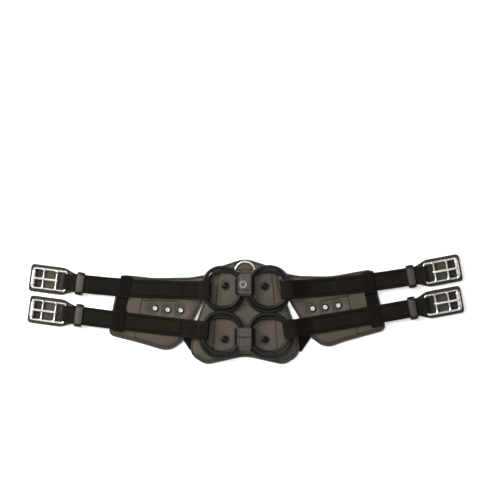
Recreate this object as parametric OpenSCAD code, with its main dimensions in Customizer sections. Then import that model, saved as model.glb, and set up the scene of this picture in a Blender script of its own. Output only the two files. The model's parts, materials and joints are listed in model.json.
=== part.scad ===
/* [Pads] */
// Thickness of the padded centre and side pads
pad_t = 7; // [7:0.1:7.6]
// Thickness of the soft lining under each pad
lining_t = 1.6; // [1.2:0.1:1.6]
// Thickness of the foam core hidden in each pad
foam_t = 2.6; // [2:0.1:2.6]
// Thickness of the elastic links between the pads
link_t = 1.2; // [0.8:0.1:1.2]

/* [Rubber rings and their loops] */
// Diameter of the rubber that each ring is made of
ring_d = 6; // [5:0.1:6]
// Bend radius of a ring's corners, along its centreline
ring_corner = 24; // [22:0.5:25]
// Thickness of the leather round the rings
ply = 2.2; // [1.6:0.1:2.4]
// Width of the narrow ends of the two centre loops
loop_tongue_w = 21; // [16:1:24]

/* [Straps] */
// Width of a strap
strap_w = 30; // [26:0.5:30]
// Thickness of a strap
strap_t = 3.2; // [2.8:0.1:3.2]
// Length of a strap from its ring end to its buckle end
strap_l = 242; // [236:1:250]
// Width of a strap where it folds round the buckle's bar
fold_w = 26; // [22:0.5:26]
// Width of the band that holds both straps on a side pad
band_w = 20; // [14:1:22]
// Thickness of the band
band_t = 1.5; // [1:0.1:2]

/* [Buckles] */
// Clear width inside a buckle, for a 25 mm billet strap
buckle_clear = 28; // [27.5:0.5:29]
// Thickness of the buckle's wire
wire_d = 3.5; // [3:0.1:3.5]
// Distance from the strap's bar to the roller's bar
buckle_l = 53; // [52:0.5:56]
// Diameter of the roller
roller_d = 6.4; // [5.6:0.1:6.4]
// Thickness of the leather guard under a buckle
guard_t = 2.6; // [2:0.1:2.6]
// Width of the guard
guard_w = 45; // [42:0.5:47]
// Width of the leather keeper, along the strap
keeper_w = 13; // [10:0.5:15]

/* [Small fittings] */
// Radius of the hole in an eyelet
eyelet_r = 3.8; // [3:0.1:3.9]
// Radius of a press stud's cap
stud_r = 5.8; // [5:0.1:6.5]
// Radius of the plain disc on the upper loop
disc_r = 6.1; // [5:0.1:8]
// Radius of the D-ring's arc, along its centreline
d_ring_r = 16.2; // [14:0.2:17]
// Thickness of the D-ring's wire
d_wire = 3.4; // [3:0.1:3.4]

/* [Hidden] */
ARMS = ["left_upper", "left_lower", "right_upper", "right_lower"];
SIDES = ["left", "right"];
$fn = 48;

LEATHER = "#6e675f";
DARK_LEATHER = "#57514a";
WEB = "#2b2723";
RUBBER = "#333331";
FOAM = "#8a8680";
NICKEL = "#cdc8bd";

// Gap kept between soft pieces that move past each other, and a running fit on a bar
gap = 0.3;
run_fit = 0.07;
cut = 1;

// Heights above the surface that the girth lies on
foam_top = lining_t + foam_t;
ring_low_z = pad_t + gap + ply + gap + ring_d / 2;
ring_high_z = ring_low_z + ring_d + gap;
loop_top = ring_high_z + ring_d / 2 + gap + ply;
strap_z = pad_t + 0.5;
strap_top = strap_z + strap_t;
bar_z = strap_z + strap_t / 2;
d_ring_z = pad_t;
link_z = lining_t + 0.2;

// Corners of the centre pad's right half: x, y, radius
CENTRE_CORNERS = [
    [0, 83.5, 40], [46, 68.5, 20], [57, 58, 8], [57.2, 42, 30],
    [86.5, -40, 80], [91, -75, 20], [64, -91.5, 20],
];
// Corners of each side pad, outward from the centre line: x, y, radius
PAD_CORNERS = [
    [
        [57.5, 57.5, 4], [90, 52, 60], [150, 51.2, 150], [202, 56.6, 7], [216, 8, 120],
        [224, -42.5, 9], [172, -55.8, 150], [124, -70, 28], [102, -54, 16],
        [69.5, 9, 40], [58, 42, 30],
    ],
    [
        [57.5, 59.5, 4], [90, 54.5, 60], [140, 53.5, 150], [208.5, 65.8, 9],
        [231.6, -34.6, 9], [164, -53, 150], [131, -65.5, 28], [105.8, -44.5, 16],
        [74.8, 9, 40], [58, 42, 30],
    ],
];
// Centre and share to which a pad's outline shrinks for its foam core
CENTRE_CORE = [[0, -8], 0.82];
PAD_CORES = [[[150, -4], 0.8], [[153, 0], 0.8]];
// Elastic links, outward from the centre line: upper and lower, on each side
LINKS = [
    [
        [[51.5, 22], [67, 14], [70, 46], [51.5, 50]],
        [[78, -47], [80, -66], [90, -68.5], [102.5, -49], [107, -42]],
    ],
    [
        [[51.5, 22], [69, 14], [70, 46], [51.5, 50]],
        [[80, -47], [81, -67], [92, -70.5], [108, -47], [111, -39]],
    ],
];
link_pocket = 1.04;
// Eyelets on each side, outward from the centre line
EYELETS = [
    [[147.9, 1.6], [126.9, -0.7], [105.9, -1.6]],
    [[152.5, 6.1], [131.2, 3.3], [110.4, 1.1]],
];
eyelet_wall = 0.8;
eyelet_rim = 1.5;
eyelet_rim_t = 0.7;
// Press studs on the centre pad
STUDS = [[-31.8, 37.9], [32.8, 36.9], [-32.8, -49.5], [33.1, -50.2]];
stud_rim = 2;
stud_rim_t = 0.6;
stud_h = 2.2;
disc_place = [-3, 40.7];
disc_t = 0.8;

// D-ring: the place of its straight bar, and its leather tab
d_bar_y = 61.2;
d_tab_w = 22;
d_tab_reach = 10;
d_tab_r = 2.4;
d_groove = 0.5;

// Centre loops: half width, low and high end of the full width, low and high end of the tongues
LOOPS = [[16.6, 23, 52.5, 18.5, 60.5], [17.8, -62.3, -29.5, -68, -24.6]];
loop_wall = 2.3;
loop_corner = 5;

// Rings: side, height, inner and outer x, centre y, length along y
RINGS = [
    [-1, ring_high_z, 5.9, 68.5, 35.3, 66.4],
    [-1, ring_low_z, 3.4, 64.4, 29.7, 66.2],
    [-1, ring_high_z, 6.2, 69.5, -37.8, 66.2],
    [-1, ring_low_z, 3.4, 72.4, -45.5, 66.4],
    [1, ring_high_z, 6.4, 70.8, 36.1, 66.8],
    [1, ring_low_z, 3.4, 72, 29.5, 67],
    [1, ring_high_z, 6.2, 71.7, -39, 63.5],
    [1, ring_low_z, 3.4, 76.8, -46.5, 65.8],
];

// Arms: side, x and y of the strap's ring end, its heading there and its bend, in degrees
ARM_LAY = [
    [-1, 55.6, 31.6, -1, 8.5],
    [-1, 58.6, -35.3, 5.8, 2],
    [1, 58.2, 31.5, 2.3, 8.2],
    [1, 62.3, -34.1, 8.95, 1.5],
];
strap_steps = 16;
// Length of the ring tunnel, and of the slope behind it, along the strap
tunnel_l = 18;
slope_l = 44;
fold_r = 3.6;
narrow_l = 12;
fold_s = strap_l - fold_r;

// Cross bands: x and y midway between the straps, and slant in degrees
BANDS = [[202.4, 9, 10], [207.2, 15.9, 10.6]];
band_half_l = 46.5;
band_strap = 27;
band_tunnel = 18;
band_rise = 0.5;

// Buckle: bars counted outward from the strap's bar
rail_y = buckle_clear / 2 + wire_d / 2;
wire_r = wire_d / 2;
frame_corner = 2.5;
mid_bar = 15.5;
front_bar = 37;
cross_bar_r = 1.6;
roller_l = 25;
tongue_w = 3.4;
tongue_eye_r = 3.3;
guard_z = 2.6;
guard_neck_z = 4.6;
guard_front = 6.5;
keeper_back = 23.5;
keeper_half = 18.8;
keeper_inner = 16.2;
keeper_wall = 1.5;

function unit(v) = v / norm(v);
function turned(a) = a > 180 ? a - 360 : a < -180 ? a + 360 : a;

// Points of one rounded corner at q, between the corners p and s
function corner_arc(p, q, s, radius, steps) =
    let(
        a = unit(p - q),
        b = unit(s - q),
        half = acos(a * b) / 2,
        c = q + unit(a + b) * radius / sin(half),
        from = q + a * radius / tan(half) - c,
        to = q + b * radius / tan(half) - c,
        start = atan2(from[1], from[0]),
        sweep = turned(atan2(to[1], to[0]) - start)
    )
    [for (k = [0 : steps]) c + radius * [cos(start + sweep * k / steps), sin(start + sweep * k / steps)]];

// A closed outline from corners given as x, y, radius
function rounded(corners, steps = 6) =
    let(n = len(corners))
    [
        for (i = [0 : n - 1])
            let(p = corners[(i + n - 1) % n], q = corners[i], s = corners[(i + 1) % n])
            each corner_arc([p[0], p[1]], [q[0], q[1]], [s[0], s[1]], q[2], steps)
    ];

function mirrored(corners) = [for (i = [len(corners) - 1 : -1 : 0]) [-corners[i][0], corners[i][1], corners[i][2]]];
function shrunk(points, core) = [for (p = points) core[0] + core[1] * (p - core[0])];
function middle(points) = [for (axis = [0, 1]) let(v = [for (p = points) p[axis]]) (min(v) + max(v)) / 2];

CENTRE_TIP = [CENTRE_CORNERS[0]];
CENTRE_RIGHT = [for (i = [1 : len(CENTRE_CORNERS) - 1]) CENTRE_CORNERS[i]];
CENTRE_DIP = [[0, -77, 60]];
centre_outline = rounded(concat(CENTRE_TIP, CENTRE_RIGHT, CENTRE_DIP, mirrored(CENTRE_RIGHT)));

// Heading and place of a strap's centre line, s along it from its ring end
function heading(arm, s) = arm[3] + arm[4] * s / strap_l;
function bend_r(arm) = strap_l * 180 / (PI * arm[4]);
function along(arm, s) = [
    arm[1] + bend_r(arm) * (sin(heading(arm, s)) - sin(arm[3])),
    arm[2] + bend_r(arm) * (cos(arm[3]) - cos(heading(arm, s))),
];
function beside(arm, s, off) = along(arm, s) + off * [-sin(heading(arm, s)), cos(heading(arm, s))];
function strap_outline(arm, from, to, half) = concat(
    [for (k = [0 : strap_steps]) beside(arm, from + (to - from) * k / strap_steps, -half)],
    [for (k = [strap_steps : -1 : 0]) beside(arm, from + (to - from) * k / strap_steps, half)]
);

module on_side(side) mirror([side < 0 ? 1 : 0, 0, 0]) children();

module slab(points, z, h) translate([0, 0, z]) linear_extrude(h) polygon(points);

// Geometry in a buckle's own frame: x outward from the strap's bar, z at the bar's axis
module at_buckle(arm) {
    place = along(arm, fold_s);
    on_side(arm[0]) translate([place[0], place[1], bar_z]) rotate([0, 0, heading(arm, strap_l)]) children();
}

module across(x, length, radius) translate([x, 0, 0]) rotate([90, 0, 0]) cylinder(h = length, r = radius, center = true);

// An outline in x and z, drawn the given width across
module side_view(points, width) rotate([90, 0, 0]) linear_extrude(width, center = true) polygon(points);

module d_ring_shape(r) {
    translate([0, d_bar_y, d_ring_z]) {
        rotate_extrude(angle = 180) translate([d_ring_r, 0]) circle(r);
        rotate([0, 90, 0]) cylinder(h = 2 * d_ring_r, r = r, center = true);
        for (x = [-1, 1]) translate([x * d_ring_r, 0, 0]) sphere(r);
    }
}

module link_pockets(i) {
    for (link = LINKS[i])
        on_side(2 * i - 1) slab(shrunk(link, [middle(link), link_pocket]), lining_t - cut, link_t + 0.4 + cut);
}

module centre_lining() color(DARK_LEATHER) slab(centre_outline, 0, lining_t);

module centre_foam() color(FOAM) slab(shrunk(centre_outline, CENTRE_CORE), lining_t, foam_t);

module centre_face() {
    color(LEATHER) difference() {
        slab(centre_outline, lining_t, pad_t - lining_t);
        slab(shrunk(centre_outline, CENTRE_CORE), lining_t - cut, foam_t + cut);
        for (i = [0, 1]) link_pockets(i);
        d_ring_shape(d_wire / 2 + d_groove);
        translate([-d_tab_w / 2 - gap, d_bar_y - d_tab_r - gap, foam_top + 0.2])
            cube([d_tab_w + 2 * gap, 2 * (d_tab_r + gap), pad_t]);
    }
}

module ring_loop(loop) {
    half = loop[0];
    low = pad_t + 0.1;
    floor_top = low + ply;
    outer = rounded([[-half, low, 1], [half, low, 1], [half, loop_top, loop_corner], [-half, loop_top, loop_corner]]);
    inner_half = half - loop_wall;
    inner_top = loop_top - ply;
    inner = rounded([
        [-inner_half, floor_top, 1], [inner_half, floor_top, 1],
        [inner_half, inner_top, loop_corner - ply], [-inner_half, inner_top, loop_corner - ply],
    ]);
    translate([0, loop[2], 0]) rotate([90, 0, 0]) linear_extrude(loop[2] - loop[1]) difference() {
        polygon(outer);
        polygon(inner);
    }
    tongue = [[-loop_tongue_w / 2, loop[3]], [loop_tongue_w / 2, loop[3]], [loop_tongue_w / 2, loop[4]], [-loop_tongue_w / 2, loop[4]]];
    slab(tongue, loop_top - ply, ply);
}

module ring_loop_upper() {
    color(DARK_LEATHER) difference() {
        ring_loop(LOOPS[0]);
        tab_low = d_bar_y - d_tab_reach - gap;
        translate([-d_tab_w / 2 - gap, tab_low, 0]) cube([d_tab_w + 2 * gap, d_tab_reach, pad_t + 2 * gap + ply]);
    }
}

module ring_loop_lower() color(DARK_LEATHER) ring_loop(LOOPS[1]);

module loop_disc() {
    color(NICKEL) translate([disc_place[0], disc_place[1], loop_top]) {
        cylinder(h = disc_t / 2, r = disc_r);
        difference() {
            cylinder(h = disc_t, r = disc_r);
            translate([0, 0, disc_t / 2]) cylinder(h = disc_t, r = disc_r - disc_t);
        }
    }
}

module press_studs() {
    color(RUBBER) for (place = STUDS) translate([place[0], place[1], pad_t]) {
        cylinder(h = stud_rim_t, r = stud_r + stud_rim);
        dome_r = (stud_r * stud_r + stud_h * stud_h) / (2 * stud_h);
        intersection() {
            translate([0, 0, stud_h - dome_r]) sphere(dome_r);
            cylinder(h = stud_h, r = stud_r);
        }
    }
}

module d_ring() color(NICKEL) d_ring_shape(d_wire / 2);

module d_ring_tab() {
    color(DARK_LEATHER) difference() {
        union() {
            translate([0, d_bar_y, d_ring_z]) rotate([0, 90, 0]) cylinder(h = d_tab_w, r = d_tab_r, center = true);
            translate([-d_tab_w / 2, d_bar_y - d_tab_reach, pad_t]) cube([d_tab_w, d_tab_reach, d_tab_r]);
        }
        translate([0, d_bar_y, d_ring_z]) rotate([0, 90, 0])
            cylinder(h = d_tab_w + 2 * cut, r = d_wire / 2 + run_fit, center = true);
    }
}

// One rubber ring, pulled into a rounded rectangle by its loop and its strap
module rubber_ring(ring) {
    r = ring_d / 2;
    x_mid = (ring[2] + ring[3]) / 2;
    dx = (ring[3] - ring[2]) / 2 - ring_corner;
    dy = ring[5] / 2 - ring_corner;
    color(RUBBER) on_side(ring[0]) translate([x_mid, ring[4], ring[1]]) {
        for (q = [[1, 1, 0], [-1, 1, 90], [-1, -1, 180], [1, -1, 270]])
            translate([q[0] * dx, q[1] * dy, 0]) rotate([0, 0, q[2]])
                rotate_extrude(angle = 90) translate([ring_corner, 0]) circle(r);
        for (side = [-1, 1]) {
            translate([side * (dx + ring_corner), 0, 0]) rotate([90, 0, 0]) cylinder(h = 2 * dy, r = r, center = true);
            translate([0, side * (dy + ring_corner), 0]) rotate([0, 90, 0]) cylinder(h = 2 * dx, r = r, center = true);
        }
    }
}

function pad_outline(i) = rounded(PAD_CORNERS[i]);

module eyelet_holes(i, r) for (place = EYELETS[i]) translate([place[0], place[1], -cut]) cylinder(h = pad_t + 2 * cut, r = r);

module pad_lining(i) {
    color(DARK_LEATHER) on_side(2 * i - 1) difference() {
        slab(pad_outline(i), 0, lining_t);
        eyelet_holes(i, eyelet_r + eyelet_wall);
    }
}

module pad_foam(i) {
    color(FOAM) on_side(2 * i - 1) difference() {
        slab(shrunk(pad_outline(i), PAD_CORES[i]), lining_t, foam_t);
        eyelet_holes(i, eyelet_r + eyelet_wall);
    }
}

module pad_face(i) {
    color(LEATHER) difference() {
        on_side(2 * i - 1) difference() {
            slab(pad_outline(i), lining_t, pad_t - lining_t);
            slab(shrunk(pad_outline(i), PAD_CORES[i]), lining_t - cut, foam_t + cut);
            eyelet_holes(i, eyelet_r + eyelet_wall);
        }
        link_pockets(i);
    }
}

module eyelets(i) {
    color(RUBBER) on_side(2 * i - 1) for (place = EYELETS[i]) translate([place[0], place[1], 0]) difference() {
        union() {
            translate([0, 0, 0.2]) cylinder(h = pad_t - 0.2, r = eyelet_r + eyelet_wall);
            translate([0, 0, pad_t]) cylinder(h = eyelet_rim_t, r = eyelet_r + eyelet_rim);
        }
        translate([0, 0, -cut]) cylinder(h = pad_t + 3 * cut, r = eyelet_r);
    }
}

module elastic_link(i, k) color(WEB) on_side(2 * i - 1) slab(LINKS[i][k], link_z, link_t);

module cross_band(i) {
    band = BANDS[i];
    tunnel_top = strap_top + band_rise;
    top = tunnel_top + band_t;
    low = pad_t + band_t;
    hump_in = band_strap - band_tunnel;
    hump_out = band_strap + band_tunnel;
    half = [
        [0, pad_t], [0, low], [hump_in - 2, low], [hump_in - 0.5, top],
        [hump_out + 0.5, top], [band_half_l, low], [band_half_l, pad_t],
    ];
    tunnel = [[hump_in, 0], [hump_in, tunnel_top], [hump_out, tunnel_top], [hump_out, 0]];
    color(WEB) on_side(2 * i - 1) translate([band[0], band[1], 0]) rotate([0, 0, band[2]])
        for (end = [0, 1]) mirror([0, end, 0]) rotate([90, 0, 90]) linear_extrude(band_w, center = true) difference() {
            polygon(half);
            polygon(tunnel);
        }
}

module strap(arm) {
    low = pad_t + gap;
    half_wide = 2 * strap_w;
    profile = [
        [0, low], [0, loop_top], [tunnel_l + ply, loop_top], [slope_l, strap_top],
        [strap_l, strap_top], [strap_l, strap_z], [slope_l, strap_z], [tunnel_l + ply, low],
    ];
    tunnel = [
        [ply, low + ply], [ply, loop_top - ply], [tunnel_l, loop_top - ply],
        [tunnel_l + 2 * ply, bar_z + 2 * ply], [tunnel_l, low + ply],
    ];
    color(WEB) difference() {
        union() {
            on_side(arm[0]) intersection() {
                union() {
                    slab(strap_outline(arm, 0, strap_l - narrow_l, strap_w / 2), 0, loop_top + cut);
                    slab(strap_outline(arm, strap_l - narrow_l - cut, fold_s, fold_w / 2), 0, loop_top + cut);
                }
                translate([arm[1], arm[2], 0]) rotate([0, 0, heading(arm, strap_l / 2)])
                    side_view(profile, half_wide);
            }
            at_buckle(arm) across(0, fold_w, fold_r);
        }
        on_side(arm[0]) translate([arm[1], arm[2], 0]) rotate([0, 0, heading(arm, strap_l / 2)])
            side_view(tunnel, half_wide);
        at_buckle(arm) across(0, fold_w + 2 * cut, wire_r + run_fit);
    }
}

module buckle_guard(arm) {
    front = buckle_l + guard_front;
    half = guard_w / 2;
    neck = fold_w / 2;
    side = [[front, half, 5.5], [4, half, 16], [-16, neck + 1, 14], [-45, neck, 4]];
    outline = rounded(concat(side, [for (k = [len(side) - 1 : -1 : 0]) [side[k][0], -side[k][1], side[k][2]]]));
    bend = 8;
    profile = [
        [front, guard_z], [front, guard_z + guard_t], [0, guard_z + guard_t], [-bend, guard_neck_z + guard_t],
        [-45, guard_neck_z + guard_t], [-45, guard_neck_z], [-bend, guard_neck_z], [0, guard_z],
    ];
    color(LEATHER) at_buckle(arm) translate([0, 0, -bar_z]) intersection() {
        slab(outline, 0, 2 * guard_neck_z);
        side_view(profile, guard_w + cut);
    }
}

module keeper(arm) {
    low = guard_neck_z - gap;
    high = strap_top + gap;
    outer = rounded([
        [-keeper_half, low - keeper_wall, 3.5], [keeper_half, low - keeper_wall, 3.5],
        [keeper_half, high + keeper_wall, 3.5], [-keeper_half, high + keeper_wall, 3.5],
    ]);
    inner = rounded([
        [-keeper_inner, low, 0.8], [keeper_inner, low, 0.8], [keeper_inner, high, 0.8], [-keeper_inner, high, 0.8],
    ]);
    color(LEATHER) at_buckle(arm) translate([-keeper_back, 0, -bar_z]) rotate([90, 0, 90])
        linear_extrude(keeper_w, center = true) difference() {
            polygon(outer);
            polygon(inner);
        }
}

module buckle_frame(arm) {
    straight_y = rail_y - frame_corner;
    color(NICKEL) at_buckle(arm) {
        for (side = [-1, 1]) translate([frame_corner, side * rail_y, 0]) rotate([0, 90, 0])
            cylinder(h = buckle_l - 2 * frame_corner, r = wire_r);
        for (q = [[1, 1, 0], [0, 1, 90], [0, -1, 180], [1, -1, 270]])
            translate([q[0] == 1 ? buckle_l - frame_corner : frame_corner, q[1] * straight_y, 0]) rotate([0, 0, q[2]])
                rotate_extrude(angle = 90) translate([frame_corner, 0]) circle(wire_r);
        across(0, 2 * straight_y, wire_r);
        across(buckle_l, 2 * straight_y, wire_r);
        for (x = [mid_bar, front_bar]) across(x, 2 * rail_y, cross_bar_r);
    }
}

module tongue(arm) {
    tip = buckle_l + 1.5;
    rest_z = roller_d / 2 + gap;
    shank = [
        [mid_bar - 1, 1.6], [mid_bar - 1, tongue_eye_r - 0.1], [mid_bar + 3, tongue_eye_r], [front_bar, 4.9],
        [tip - 2, rest_z + 2.3], [tip, rest_z + 1.4], [tip, rest_z + 0.4], [tip - 1.2, rest_z],
        [front_bar, cross_bar_r + 0.8], [mid_bar + 3, 1.3],
    ];
    color(NICKEL) at_buckle(arm) difference() {
        union() {
            across(mid_bar, tongue_w + 0.8, tongue_eye_r);
            side_view(shank, tongue_w);
        }
        across(mid_bar, tongue_w + 2 * cut, cross_bar_r + run_fit);
    }
}

module roller(arm) {
    color(NICKEL) at_buckle(arm) difference() {
        across(buckle_l, roller_l, roller_d / 2);
        across(buckle_l, roller_l + 2 * cut, wire_r + run_fit);
    }
}

centre_lining();
centre_foam();
centre_face();
ring_loop_upper();
ring_loop_lower();
loop_disc();
press_studs();
d_ring();
d_ring_tab();
rubber_ring(RINGS[0]);  // ring_left_upper_over
rubber_ring(RINGS[1]);  // ring_left_upper_under
rubber_ring(RINGS[2]);  // ring_left_lower_over
rubber_ring(RINGS[3]);  // ring_left_lower_under
rubber_ring(RINGS[4]);  // ring_right_upper_over
rubber_ring(RINGS[5]);  // ring_right_upper_under
rubber_ring(RINGS[6]);  // ring_right_lower_over
rubber_ring(RINGS[7]);  // ring_right_lower_under
for (i = [0, 1]) pad_lining(i);
for (i = [0, 1]) pad_foam(i);
for (i = [0, 1]) pad_face(i);
for (i = [0, 1]) eyelets(i);
for (i = [0, 1]) cross_band(i);
for (i = [0, 1]) elastic_link(i, 0);
for (i = [0, 1]) elastic_link(i, 1);
for (k = [0 : 3]) strap(ARM_LAY[k]);
for (k = [0 : 3]) buckle_guard(ARM_LAY[k]);
for (k = [0 : 3]) keeper(ARM_LAY[k]);
for (k = [0 : 3]) buckle_frame(ARM_LAY[k]);
for (k = [0 : 3]) tongue(ARM_LAY[k]);
for (k = [0 : 3]) roller(ARM_LAY[k]);
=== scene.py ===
"""Looks for the saddle girth: leather, webbing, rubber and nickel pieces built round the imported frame.

Lengths in this script are millimetres until a mesh is made, which is in metres like the frame.
"""
import json
import math

import bpy
import bmesh
import numpy as np
from mathutils import Matrix, Vector, geometry, noise


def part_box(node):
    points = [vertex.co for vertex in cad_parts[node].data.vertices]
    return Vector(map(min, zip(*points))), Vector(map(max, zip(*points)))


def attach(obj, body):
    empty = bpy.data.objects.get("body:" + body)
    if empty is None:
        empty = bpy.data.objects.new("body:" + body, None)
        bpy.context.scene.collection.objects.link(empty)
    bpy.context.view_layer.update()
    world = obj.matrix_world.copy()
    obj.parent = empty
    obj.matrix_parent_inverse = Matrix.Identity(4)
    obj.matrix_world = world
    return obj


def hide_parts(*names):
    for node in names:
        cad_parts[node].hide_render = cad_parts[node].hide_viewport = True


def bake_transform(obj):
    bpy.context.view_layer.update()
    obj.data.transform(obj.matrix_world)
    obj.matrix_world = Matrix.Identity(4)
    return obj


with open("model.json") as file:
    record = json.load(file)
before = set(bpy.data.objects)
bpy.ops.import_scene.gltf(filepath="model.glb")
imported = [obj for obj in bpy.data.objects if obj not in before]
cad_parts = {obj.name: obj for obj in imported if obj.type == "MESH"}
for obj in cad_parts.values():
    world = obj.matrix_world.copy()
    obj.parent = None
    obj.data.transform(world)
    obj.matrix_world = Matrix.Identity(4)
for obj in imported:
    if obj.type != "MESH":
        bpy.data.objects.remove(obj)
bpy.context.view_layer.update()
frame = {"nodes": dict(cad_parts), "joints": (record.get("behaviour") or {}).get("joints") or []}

MM = 0.001
ARMS = ("left_upper", "left_lower", "right_upper", "right_lower")
SIDES = ("left", "right")
JOINTS = {j["name"]: j for j in frame["joints"]}
UP = np.array([0, 0, 1.0])

# Driving sizes that the frame doesn't state by itself
STRAP_L = 242.0
STRAP_W = 30.0
STRAP_T = 3.2
STRAP_Z = 9.1
PLY = 2.2
FOLD_BACK = 3.6
FOLD_W = 26.0
WIRE_R = 1.75
CROSS_BAR_R = 1.6
RAIL = 15.75
FRONT_BAR = 37.0
RING_R = 3.0


# ---------------------------------------------------------------- reading the frame
def box_mm(node):
    low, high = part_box(node)
    return np.array(low) / MM, np.array(high) / MM


def corners_mm(node):
    return np.array([v.co for v in frame["nodes"][node].data.vertices]) / MM


def joint_place(name):
    return np.array(JOINTS[name]["pos_m"]) / MM


def joint_axis(name):
    return np.array(JOINTS[name]["axis"], float)


def flat_loops(node, z):
    """The closed outlines of a CAD node's faces in the plane z, the longest first."""
    co = corners_mm(node)
    key = [tuple(np.round(c, 2)) for c in co]
    follow = {}
    for p in frame["nodes"][node].data.polygons:
        if all(abs(co[i][2] - z) < 0.02 for i in p.vertices):
            ring = [key[i][:2] for i in p.vertices]
            for a, b in zip(ring, ring[1:] + ring[:1]):
                if not follow.pop((b, a), False):
                    follow[(a, b)] = True
    step = dict(follow.keys())
    loops = []
    while step:
        start, here = next(iter(step.items()))
        loop = [start]
        del step[start]
        while here != start:
            loop.append(here)
            here = step.pop(here)
        loops.append(np.array(loop))
    return sorted(loops, key=lambda lp: -np.ptp(lp[:, 0]))


class Arm:
    """One strap's line from its ring end to its buckle, read from the joints."""

    def __init__(self, name):
        self.bar = joint_place(f"buckle_{name}_tilt")
        self.out = joint_axis(f"keeper_{name}_slide")
        self.side = 1.0 if self.out[0] > 0 else -1.0
        chord = joint_axis(f"arm_{name}_stretch")
        self.end = math.atan2(self.out[1], self.out[0] * self.side)
        self.bend = 2 * (self.end - math.atan2(chord[1], chord[0] * self.side))
        self.across = np.cross(UP, self.out)
        self.u_roller = self.u_of(joint_place(f"roller_{name}_turn"))
        self.u_eye = self.u_of(joint_place(f"tongue_{name}_lift"))

    def u_of(self, point):
        """How far out from the buckle's bar a point lies."""
        return float(np.dot(point - self.bar, self.out))

    def heading(self, s):
        return self.end - self.bend * (1 - s / STRAP_L)

    def tangent(self, s):
        h = self.heading(s)
        return np.array([math.cos(h) * self.side, math.sin(h), 0.0])

    def spot(self, s, v=0.0, z=0.0):
        """The point at s along the strap, v to its left and z above the ground."""
        radius = STRAP_L / self.bend
        h, h_bar = self.heading(s), self.heading(STRAP_L - FOLD_BACK)
        x = self.bar[0] * self.side + radius * (math.sin(h) - math.sin(h_bar))
        y = self.bar[1] + radius * (math.cos(h_bar) - math.cos(h))
        return np.array([x * self.side, y, z]) + v * np.cross(UP, self.tangent(s))

    def local(self, points):
        """Points given from the buckle's bar, outward, across and up."""
        return np.asarray(points, float) @ np.array([self.out, self.across, UP]) + self.bar

    def above(self, points):
        """Points given from the buckle's bar, outward and across, with their height above the ground."""
        return self.local(points - self.bar[2] * UP)


arms = {name: Arm(name) for name in ARMS}


# ---------------------------------------------------------------- mesh helpers
def add_object(name, data):
    obj = bpy.data.objects.new(name, data)
    bpy.context.scene.collection.objects.link(obj)
    return obj


def place_object(name, mesh, body, replaces):
    """A mesh in the scene, riding a body and standing for CAD nodes, whose names are given in one string."""
    obj = add_object(name, mesh)
    if body:
        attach(obj, body)
    if replaces:
        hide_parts(*replaces.split())
    return obj


def make_piece(name, shape, material, body=None, replaces="", slot=None, sharp=40.0, **values):
    """A closed mesh from millimetre points, smooth between edges under sharp degrees. The values are written
    on its points, where the materials read them."""
    verts, faces = shape
    mesh = bpy.data.meshes.new(name)
    mesh.from_pydata((np.asarray(verts, float) * MM).tolist(), [], [list(map(int, f)) for f in faces])
    for key, data in values.items():
        data = np.asarray(data, np.float32)
        flat = data.ndim == 1
        layer = mesh.attributes.new(key, "FLOAT" if flat else "FLOAT_VECTOR", "POINT")
        layer.data.foreach_set("value" if flat else "vector", data.ravel())
    bm = bmesh.new()
    bm.from_mesh(mesh)
    bmesh.ops.recalc_face_normals(bm, faces=bm.faces)
    for e in bm.edges:
        e.smooth = len(e.link_faces) == 2 and e.calc_face_angle(0.0) < math.radians(sharp)
    for f in bm.faces:
        f.smooth = True
    bm.to_mesh(mesh)
    bm.free()
    mesh.materials.append(material)
    return place_object(name, mesh, body, replaces)


def stretch(obj, node, body, side, near, far, z):
    """Bakes a piece's transform into its mesh. The node, body, side, shares and z are not used."""
    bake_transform(obj)


def joined(parts):
    """Several (verts, faces) as one."""
    verts, faces, base = [], [], 0
    for v, f in parts:
        verts.append(np.asarray(v, float))
        faces += [[i + base for i in face] for face in f]
        base += len(v)
    return np.concatenate(verts), faces


def arc(x, y, r, start, end, count):
    """Points round a centre, from one angle in degrees to another."""
    return [(x + r * math.cos(a), y + r * math.sin(a)) for a in np.radians(np.linspace(start, end, count))]


def ridge(d, at, width):
    """A bell curve over a distance: 1 at a place, fading away over a width."""
    return np.exp(-(((d - at) / width) ** 2))


def round_edge(d, r):
    """0 at an edge and 1 from r inwards, along a quarter circle."""
    t = 1 - np.clip(d / r, 0, 1)
    return np.sqrt(np.maximum(0.0, 1 - t * t))


def ease(t):
    """From 0 to 1 with level ends."""
    return t * t * (3 - 2 * t)


def resampled(points, step, closed=True):
    p = np.asarray(points, float)
    if closed:
        p = np.vstack([p, p[:1]])
    length = np.concatenate([[0], np.cumsum(np.linalg.norm(np.diff(p, axis=0), axis=1))])
    count = max(3, int(round(length[-1] / step)))
    at = np.linspace(0, length[-1], count + 1)
    if closed:
        at = at[:-1]
    return np.stack([np.interp(at, length, p[:, k]) for k in range(p.shape[1])], axis=1)


def smoothed(points, passes):
    p = np.asarray(points, float)
    for _ in range(passes):
        p = 0.5 * p + 0.25 * (np.roll(p, 1, 0) + np.roll(p, -1, 0))
    return p


def path_axes(path, closed=False):
    """Unit tangents of a path."""
    p = np.asarray(path, float)
    t = np.roll(p, -1, 0) - np.roll(p, 1, 0) if closed else np.gradient(p, axis=0)
    return t / np.linalg.norm(t, axis=1)[:, None]


def left_of(t):
    """Flat tangents turned a quarter turn to the left."""
    return np.stack([-t[:, 1], t[:, 0]], axis=1)


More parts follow.
